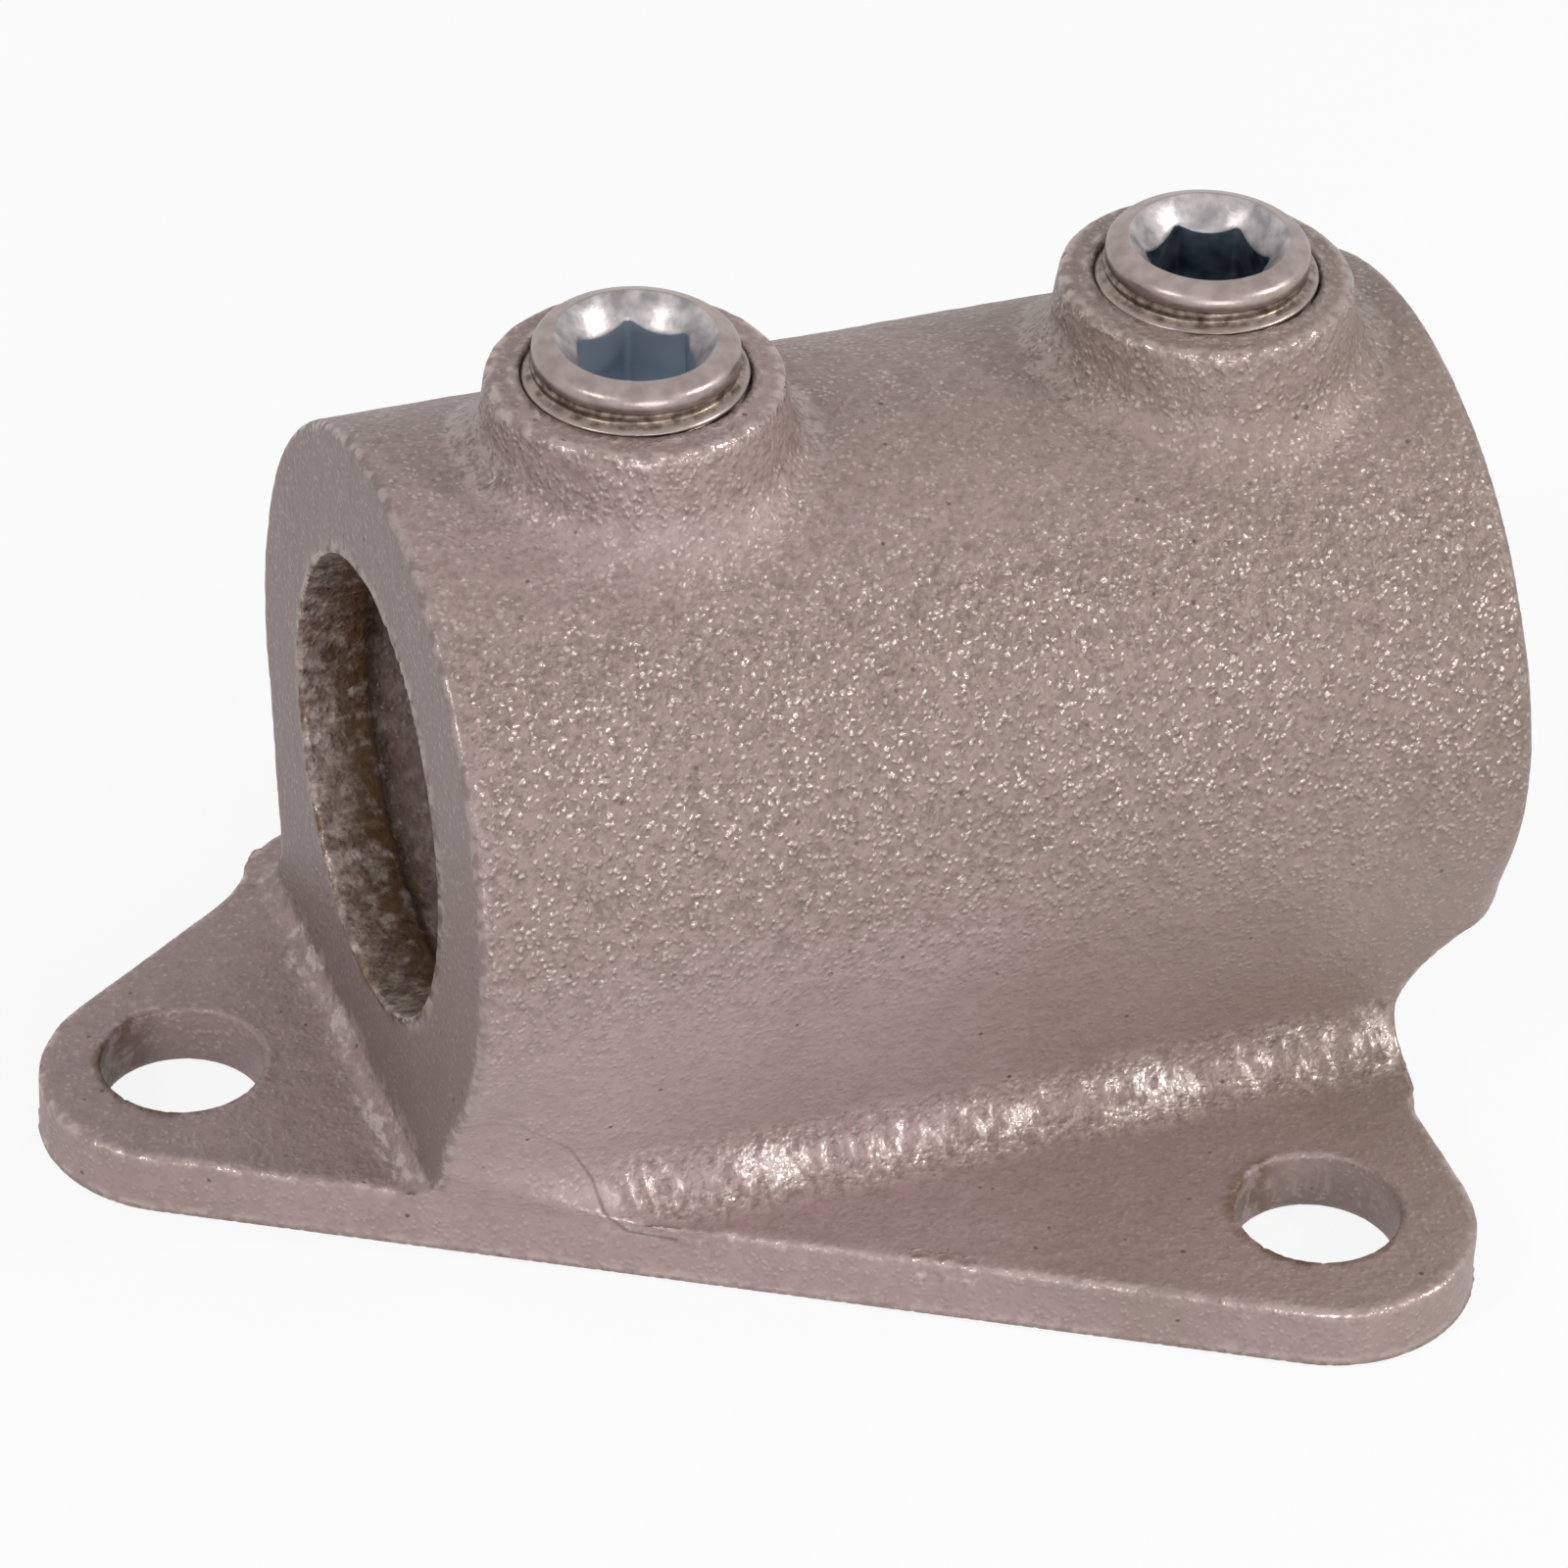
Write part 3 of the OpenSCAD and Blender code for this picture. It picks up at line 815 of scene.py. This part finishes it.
def edge_sharpness(points, reach=0.7):
    """How sharply the casting turns outward at each point, in 1/mm: 0 on a flat, 1 on a 1 mm edge."""
    total = -6 * casting_distance(*points.T)
    for axis in range(3):
        for way in (-reach, reach):
            step = np.zeros(3)
            step[axis] = way
            total = total + casting_distance(*(points + step).T)
    return total / reach ** 2


def sandiness(z, past_end):
    """1 on the barrel's sides and the bosses, less on the flange, the end faces and the flat tops."""
    calm = [0.65 * ease(past_end, -1.2, -0.4) * (z > FLANGE_T + 1),
            0.45 * ease(z, AXIS_H + 19, AXIS_H + 25) * ease(BOSS_TOP - z, 4, 6),
            0.6 * ease(z, BOSS_TOP - 0.6, BOSS_TOP - 0.1),
            0.3 * ease(z, BOSS_TOP - 7, BOSS_TOP - 4),
            0.65 * ease(AXIS_H - z, -9, 12),
            0.65 * ease(z, FLANGE_T + 1.5, FLANGE_T)]
    return 1 - np.max(calm, axis=0)


def oxide_and_rust(x, y, z, from_axis):
    """Oxide in the cored bore and the threaded holes, rust on the lands' edges and at the bolt holes."""
    relief_r = BORE_R + RELIEF_DEPTH
    cored = ease(from_axis, relief_r + 0.9, BORE_R + 0.1) * (z < AXIS_H + BORE_R + 0.9)
    from_screw = np.minimum(*(np.hypot(x - boss_x, y) for boss_x in SCREW_X))
    threaded = ease(from_screw, THREAD_HOLE_R + 0.45, THREAD_HOLE_R + 0.15) * (z > AXIS_H)
    rusty = ease(np.abs(np.abs(x) - HALF_LEN + LAND_LEN + 0.6), 2.6, 0.4) * cored
    for hole_x, hole_y in (LEFT_HOLE, RIGHT_HOLE):
        out = np.hypot(x - hole_x, y - hole_y) - BOLT_HOLE_R
        rusty = np.maximum(rusty, 0.8 * ease(out, 1.2, 0.2) * ease(hole_x - x, -1, 3))
    return np.maximum(cored, threaded), rusty


def worn_edges(x, y, z, sharpness, from_axis, past_end):
    """Every outer edge but those of machined walls, the bosses' softer rims and the bore's mouths."""
    boss_rim = np.where(np.abs(z - BOSS_TOP) < 1.3, ease(sharpness, 0.3, 0.7), 0)
    outer = np.maximum(ease(sharpness, 0.7, 1.5), boss_rim) * (1 - machined(x, y, z))
    return np.maximum(outer, ease(past_end, -0.7, -0.3) * (from_axis < BORE_R + 0.5))


def pooled_zinc(x, y, z, sharpness):
    """The inner corners: full from the parting mark on in front, weaker at the back and at the toe."""
    toe = ease(end_x(z) + x, 1.5, 0.5) * (z < AXIS_H)
    inner = np.where(z > AXIS_H, ease(-sharpness, 0.16, 0.42), ease(-sharpness, 0.08, 0.3))
    along = np.where(y < 0, ease(x, -31, -27), 0.6)
    return inner * np.maximum(np.where(z < AXIS_H, along, 1), toe) * (1 - 0.5 * toe)


def mark_finish(mesh):
    points = points_of(mesh)
    x, y, z = points.T
    sharpness = edge_sharpness(points)
    from_axis, past_end = np.hypot(y, z - AXIS_H), np.abs(x) - end_x(z)
    bore, rusty = oxide_and_rust(x, y, z, from_axis)
    # Worn edges and pooled fillets carry bare zinc and painted highlights
    marks = {"bore": bore, "rusty": rusty, "pooled": pooled_zinc(x, y, z, sharpness),
             "worn": worn_edges(x, y, z, sharpness, from_axis, past_end),
             # The end faces, which get painted shade in the material
             "ends": ease(past_end, -1.0, -0.5) * (z > FLANGE_T + 1),
             "sandy": sandiness(z, past_end)}
    for name, values in marks.items():
        set_attribute(mesh, name, values)


mark_finish(casting.data)
casting.data.shade_smooth()
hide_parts("clamp_body")
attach(casting, "casting")
print("attributes:", [a.name for a in casting.data.attributes if a.domain == "POINT"])

# %% [markdown]
# ## The screws
# Each is a turned and threaded steel screw with a hexagon socket, a plain collar and a cup point. Its
# surface is one closed net: rows of points from the bottom of the socket, over the crown and down the
# outside to the middle of the cup, each row a ring round the axis. The socket's rows follow a hexagon,
# the rest are round. A boolean cut could make the socket, but a net keeps its faces even.

# %% Sizes of the screws, in millimetres
SCREW_LOW, SCREW_HIGH = node_box("set_screw_left")
SCREW_TOP = float(SCREW_HIGH[2])
SCREW_R = float((SCREW_HIGH[0] - SCREW_LOW[0]) / 2)
SCREW_LEN = float(SCREW_TOP - SCREW_LOW[2])
PITCH = 1.337
THREAD_DEPTH = 0.80
COLLAR_R, COLLAR_EDGE_R, CROWN_SLOPE = 7.55, 0.9, math.radians(22)
SINK_R, SINK_HALF_ANGLE = 5.9, math.radians(40)
HEX_FLATS, HEX_DEPTH, HEX_CORNER_EASE = 8.0, 7.0, 0.12
DRILL_R, DRILL_HALF_ANGLE = HEX_FLATS / 2, math.radians(59)
POINT_R, CUP_R, CUP_DEPTH = 6.2, 4.8, 2.0
THREAD_START, THREAD_STEP = 2.0, 0.085
TURNS = {"left": 19.0, "right": 38.0}            # how far each screw is turned, in degrees
SOCKET_SHADE = {"left": 0.5, "right": 1.0}        # painted light in the sockets: the left one's walls are lit, the right one is almost black with shade
COLUMNS = 144
SINK_ROWS = 4

angles = np.arange(COLUMNS) * math.tau / COLUMNS


def hexagon(across):
    """Radius of a hexagon in each column, with its corners eased as a broach leaves them."""
    nearest_flat = angles % (math.pi / 3) - math.pi / 6
    sharp = across / 2 / np.cos(nearest_flat)
    return np.minimum(sharp, across / 2 / math.cos(math.pi / 6) - HEX_CORNER_EASE)


def ring(radius, height):
    """A row of the net: radius and height may be numbers or one value for each column."""
    return (np.broadcast_to(radius, COLUMNS), np.broadcast_to(height, COLUMNS))


def socket_rows():
    """The drilled cone, the broached hexagon and, in the last SINK_ROWS rows, the countersink."""
    hex_r = hexagon(HEX_FLATS)
    meet = -(SINK_R - hex_r) / math.tan(SINK_HALF_ANGLE)
    rows = [ring(DRILL_R * share, -HEX_DEPTH - DRILL_R * (1 - share) / math.tan(DRILL_HALF_ANGLE))
            for share in (0.25, 0.6, 0.96)]
    rows += [ring(DRILL_R, -HEX_DEPTH), ring(hex_r - 0.12, -HEX_DEPTH), ring(hex_r, -HEX_DEPTH + 0.15)]
    rows += [ring(hex_r, -HEX_DEPTH + (HEX_DEPTH + meet - 0.12) * share) for share in (0.35, 0.7, 1.0)]
    rows += [ring(hex_r + 0.05, meet + 0.03)]
    rows += [ring(hex_r + (SINK_R - hex_r) * share, meet * (1 - share)) for share in (0.15, 0.5, 0.96)]
    return rows


def crown_rows():
    """The sloping crown, its round edge and the plain collar."""
    rows = [ring(SINK_R + 0.06, -0.02), ring(SINK_R + 0.2, -0.2 * math.tan(CROWN_SLOPE))]
    edge_x = COLLAR_R - COLLAR_EDGE_R
    edge_z = -(edge_x - SINK_R) * math.tan(CROWN_SLOPE) - COLLAR_EDGE_R / math.cos(CROWN_SLOPE)
    for i in range(9):
        angle = (math.pi / 2 - CROWN_SLOPE) * (1 - i / 8)
        rows.append(ring(edge_x + COLLAR_EDGE_R * math.cos(angle),
                         edge_z + COLLAR_EDGE_R * math.sin(angle)))
    rows += [ring(COLLAR_R, -1.75), ring(COLLAR_R - 0.12, -1.9)]
    return rows


def point_rows():
    return [ring(POINT_R + 0.1, -SCREW_LEN + 0.06), ring(POINT_R - 0.05, -SCREW_LEN),
            ring(CUP_R + 0.1, -SCREW_LEN), ring(CUP_R - 0.05, -SCREW_LEN + 0.06),
            ring(CUP_R / 2, -SCREW_LEN + CUP_DEPTH / 2), ring(0.4, -SCREW_LEN + CUP_DEPTH - 0.1)]


shank_heights = np.arange(-THREAD_START, -SCREW_LEN + 0.5, -THREAD_STEP)
print("rings on a screw's shank:", len(shank_heights), "each of", COLUMNS, "points")

# %% [markdown]
# ## The thread
# A thread is a ridge that climbs by one pitch in each turn. The net's shank is smooth, and a Geometry
# Nodes tree lifts each of its points by where it lies on the helix: the height over the pitch, less the
# angle over a turn, gives the same number all along one ridge. An attribute named cut fades the ridge at
# both ends, as the die leaves it. One tree serves both screws.

# %% Geometry Nodes tree of the thread


def thread_tree():
    """Lifts each point away from the axis by the height of the helical ridge where it lies."""
    tree, given = geometry_tree("thread", ("Pitch", "Depth"))
    maths = partial(add_maths, tree)
    spot = add_node(tree, "GeometryNodeInputPosition").outputs[0]
    parts = add_node(tree, "ShaderNodeSeparateXYZ", {0: spot}).outputs
    turns = maths("DIVIDE", maths("ARCTAN2", parts[1], parts[0]), math.tau)
    phase = maths("FRACT", maths("SUBTRACT", maths("DIVIDE", parts[2], given["Pitch"]), turns))
    ridge = maths("ABSOLUTE", maths("SUBTRACT", maths("MULTIPLY", phase, 2.0), 1.0))
    rounded = add_node(tree, "ShaderNodeMapRange", {
        "Value": ridge, "From Min": 0.1, "From Max": 0.88}, interpolation_type="SMOOTHSTEP")
    lift = maths("MULTIPLY", maths("MULTIPLY", rounded.outputs[0], given["Depth"]),
                 named_attribute(tree, "cut"))
    level = add_node(tree, "ShaderNodeCombineXYZ", {0: parts[0], 1: parts[1]}).outputs[0]
    out = add_node(tree, "ShaderNodeVectorMath", {0: level}, operation="NORMALIZE").outputs[0]
    move_and_end(tree, given, out, lift)
    return tree


screw_thread = thread_tree()
print("thread tree has", len(screw_thread.nodes), "nodes")

# %% [markdown]
# ## Zinc-plated steel
# The screws are bright zinc on turned steel. The countersink catches the light in soft mottles, the crown
# and the collar are duller and a little pink from handling, the thread is darker with grease and dirt in
# its roots, and the broached socket has a blue cast with painted light and shade inside: lit at the left
# and almost black with shade at the right. The mesh carries the attributes socket, sink and grime, so
# each zone starts where its edge is.

# %% Material of the screws


def zinc_plated_steel():
    material, tree = new_material("zinc_plated_steel")
    noise, ramp, blend, mix, attribute = shading_tools(tree)[:5]
    sink, socket, grime = attribute("sink"), attribute("socket"), attribute("grime")
    in_socket = ramp(socket, 0.0, 0.4)
    mottle = ramp(noise(1.4, 3.0), 0.35, 0.65)
    plain = mix(mottle, "#948683", "#A89A96")
    bright = mix(mottle, "#8E8A8C", "#B9B3B4")
    dirty = mix(ramp(noise(0.8, 3.0), 0.35, 0.65), "#574B41", "#9A8B80")
    # Painted shade inside the sockets: lit blue-grey walls at the left, almost black at the right
    painted_socket_shade = mix(ramp(noise(2.5, 2.0), 0.35, 0.7), "#39434F", "#8693A0")
    broached = mix(ramp(socket, 0.5, 1.0), "#A8B2BD", painted_socket_shade)
    colour = mix(in_socket, mix(grime, mix(sink, plain, bright), dirty), broached)
    rough = blend(in_socket, blend(sink, ramp(mottle, 0, 1, 0.3, 0.38), 0.36), 0.4)
    bump = add_node(tree, "ShaderNodeBump", {
        "Height": noise(0.9, 3.0), "Strength": 0.3, "Distance": 0.12 * MM})
    add_metal(tree, colour, 0.85, rough, bump)
    return material


screw_material = zinc_plated_steel()
print("material", screw_material.name, "with", len(screw_material.node_tree.nodes), "nodes")

# %% [markdown]
# ## The two screws
# Both screws are the same bought part, each turned by its own angle, as in the photograph. The rows of
# the net also say where socket, countersink and thread begin, so the attributes are set by row.

# %% The two screws


def net_mesh(name, rows, heart_low, heart_high):
    """A closed mesh from rings of points, with a pole at each end."""
    radius = np.array([row[0] for row in rows])
    height = np.array([row[1] for row in rows])
    points = np.stack([radius * np.cos(angles), radius * np.sin(angles), height], axis=-1).reshape(-1, 3)
    points = np.vstack([points, [0, 0, heart_low], [0, 0, heart_high]])
    a = np.arange(len(rows) * COLUMNS).reshape(-1, COLUMNS)
    b = np.roll(a, -1, axis=1)
    faces = np.stack([a[:-1], a[1:], b[1:], b[:-1]], axis=-1).reshape(-1, 4).tolist()
    low, high = len(points) - 2, len(points) - 1
    for i, j, k, m in zip(*(row.tolist() for row in (a[0], b[0], a[-1], b[-1]))):
        faces += [(low, i, j), (high, m, k)]
    mesh = bpy.data.meshes.new(name)
    mesh.from_pydata((points * MM).tolist(), [], faces)
    mesh.update()
    mesh.shade_smooth()
    return mesh


def make_screw(side, boss_x):
    top, crown = socket_rows(), crown_rows()
    shank = [ring(SCREW_R - THREAD_DEPTH, height) for height in shank_heights]
    rows = top + crown + shank + point_rows()
    drill_end = -HEX_DEPTH - DRILL_R / math.tan(DRILL_HALF_ANGLE)
    mesh = net_mesh("screw_blank_" + side, rows, drill_end, -SCREW_LEN + CUP_DEPTH)

    row_of = np.append(np.repeat(np.arange(len(rows)), COLUMNS), [0, len(rows) - 1])
    deep = -points_of(mesh)[:, 2]
    fade = ease(deep, THREAD_START, THREAD_START + 1.1) * ease(deep, SCREW_LEN - 0.6, SCREW_LEN - 1.6)
    first, sink_first = len(top) + len(crown), len(top) - SINK_ROWS
    set_attribute(mesh, "cut", fade * ((row_of >= first) & (row_of < first + len(shank))))
    # The socket's value sets how deep its painted shade is
    set_attribute(mesh, "socket", SOCKET_SHADE[side] * (row_of < sink_first))
    set_attribute(mesh, "sink", (row_of >= sink_first) & (row_of < len(top)))
    blank = add_object("screw_blank_" + side, mesh)
    run_tree(blank, screw_thread, pitch=PITCH * MM, depth=THREAD_DEPTH * MM, material=screw_material)
    screw = finished(blank, "screw_" + side)

    x, y, z = points_of(screw.data).T
    in_root = ease(np.hypot(x, y), SCREW_R - 0.12, SCREW_R - 0.5)
    set_attribute(screw.data, "grime", in_root * ease(-z, 1.7, 1.9) * (row_of >= len(top)))
    place = Matrix.Translation((boss_x * MM, 0, SCREW_TOP * MM))
    screw.data.transform(place @ Matrix.Rotation(math.radians(TURNS[side]), 4, "Z"))
    screw.data.shade_smooth()
    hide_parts("set_screw_" + side)
    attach(screw, side + "_screw")
    return screw


screws = [make_screw(side, boss_x) for side, boss_x in zip(("left", "right"), SCREW_X)]
print("faces of a screw:", len(screws[0].data.polygons))

# %% [markdown]
# ## Light and floor
# Two small lamps stand to the right and to the left, at 33 and 39 degrees. Their places follow from the
# mirror angles of the brightest spots in the photograph: the collars, the countersinks, the feet of the
# bosses and the sparkling band along the barrel. A low wide fill in front opens the shadow under the
# barrel. The background is white through the world and the floor, for camera rays and for the rays that
# metal reflects, so no extra light falls on the object.

# %% Lamps, world and floor
WORLD_LIGHT = 0.53       # the world's strength on the object, where 1 is the white that the camera sees
FLOOR_WHITE = 0.88       # share of plain white in the floor as the camera sees it, the rest is shadow
FLOOR_HALF, FLOOR_Z_MM = 3.0, -0.2
WHITE = linear("#FFFFFF")


def area_light(name, azimuth, elevation, distance, size, watts, colour):
    """A round lamp that looks at the object, in degrees round and over the camera's aim, and metres."""
    data = bpy.data.lights.new(name, "AREA")
    data.shape = "DISK"
    data.size = size
    data.energy = watts
    data.color = linear(colour)[:3]
    light = add_object(name, data)
    a, e = math.radians(azimuth), math.radians(elevation)
    back = Vector((math.sin(a) * math.cos(e), -math.cos(a) * math.cos(e), math.sin(e)))
    light.location = CAMERA_AIM + back * distance
    light.rotation_euler = (-back).to_track_quat("-Z", "Y").to_euler()


area_light("right_lamp", azimuth=57, elevation=33, distance=0.9, size=0.1, watts=3.0, colour="#FFFBF8")
area_light("left_lamp", azimuth=-67, elevation=39, distance=0.9, size=0.1, watts=1.5, colour="#FFFBF8")
area_light("fill", azimuth=-5, elevation=8, distance=0.6, size=0.35, watts=1.45, colour="#FCFAFF")


def seen_directly(tree):
    """1 for rays from the camera and for rays that metal or glass reflects or passes, else 0."""
    path = add_node(tree, "ShaderNodeLightPath").outputs
    some = add_maths(tree, "MAXIMUM", path["Is Camera Ray"], path["Is Glossy Ray"])
    return add_maths(tree, "MAXIMUM", some, path["Is Transmission Ray"])


def add_world():
    world = bpy.data.worlds.new("studio")
    world.use_nodes = True
    tree = world.node_tree
    tree.nodes.clear()
    strength = add_node(tree, "ShaderNodeMapRange", {
        "Value": seen_directly(tree), "To Min": WORLD_LIGHT, "To Max": 1.0})
    glow = add_node(tree, "ShaderNodeBackground", {"Color": WHITE, "Strength": strength.outputs[0]})
    add_node(tree, "ShaderNodeOutputWorld", {"Surface": glow.outputs[0]})
    bpy.context.scene.world = world


def add_floor():
    mesh = bpy.data.meshes.new("floor")
    corners = [(x * FLOOR_HALF, y * FLOOR_HALF, FLOOR_Z_MM * MM)
               for x, y in ((-1, -1), (1, -1), (1, 1), (-1, 1))]
    mesh.from_pydata(corners, [], [(0, 1, 2, 3)])
    material, tree = new_material("white_card")
    card = add_node(tree, "ShaderNodeBsdfDiffuse", {"Color": linear("#F2F2F4")})
    glow = add_node(tree, "ShaderNodeEmission", {"Color": WHITE, "Strength": 1.0})
    share = add_maths(tree, "MULTIPLY", seen_directly(tree), FLOOR_WHITE)
    both = add_node(tree, "ShaderNodeMixShader", {0: share, 1: card.outputs[0], 2: glow.outputs[0]})
    add_node(tree, "ShaderNodeOutputMaterial", {"Surface": both.outputs[0]})
    mesh.materials.append(material)
    add_object("floor", mesh)


add_world()
add_floor()
bpy.context.scene.view_settings.view_transform = "Standard"
